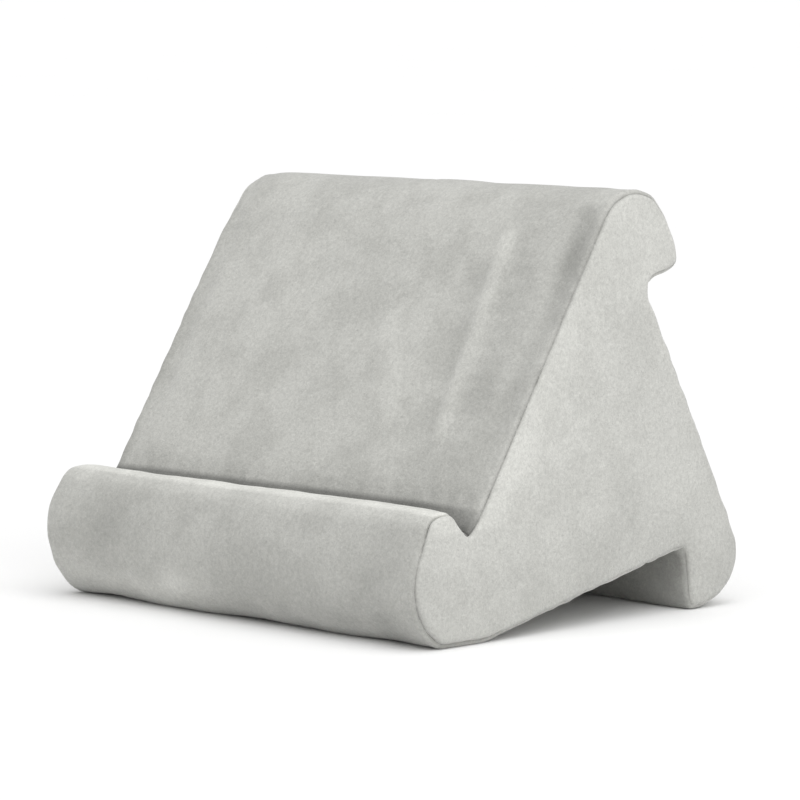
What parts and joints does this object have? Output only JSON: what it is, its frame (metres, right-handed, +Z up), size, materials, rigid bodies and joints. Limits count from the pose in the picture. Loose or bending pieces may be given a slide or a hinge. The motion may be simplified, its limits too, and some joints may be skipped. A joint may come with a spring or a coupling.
{
  "type": "tablet stand",
  "caption": "Soft three-sided tablet stand: a foam wedge with a rounded foam lip along each edge, in a zipped grey plush cover.",
  "frame": {"origin": "middle of the base on the surface that the stand rests on, half way between the front lip and the rear foot", "axes": "+X along the width to the viewer's right, -Y to the front where the tablet's edge sits, +Z up"},
  "size_m": [0.29, 0.252, 0.23],
  "materials": {
    "foam": "matte",
    "plush_side": "matte",
    "plush_band": "matte",
    "zip_tape": "matte",
    "zip_teeth": "satin",
    "zip_metal": "satin"
  },
  "bodies": {
    "stand": {"foam_wedge": "foam", "foam_front_lip": "foam", "foam_top_lip": "foam", "foam_rear_foot": "foam", "side_panel_left": "plush_side", "side_panel_right": "plush_side", "backrest_panel": "plush_band", "back_panel": "plush_band", "base_panel": "plush_band", "front_lip_panel": "plush_band", "zip_tape_front": "zip_tape", "zip_tape_rear": "zip_tape", "zip_teeth_front": "zip_teeth", "zip_teeth_rear": "zip_teeth", "zip_top_stops": "zip_metal", "zip_bottom_stop": "zip_metal"},
    "slider": {"zip_slider": "zip_metal"},
    "pull_tab": {"zip_pull_tab": "zip_metal"}
  },
  "joints": [
    {"name": "zip_slide", "type": "slide", "parent": "stand", "child": "slider", "axis": [1, 0, 0], "range_m": [0, 0.2284]},
    {"name": "pull_tab_hinge", "type": "hinge", "parent": "slider", "child": "pull_tab", "pos_m": [-0.1142, 0.05259, 0.02598], "axis": [0, 0.9756, 0.2197], "range_deg": [-88, 88]}
  ]
}
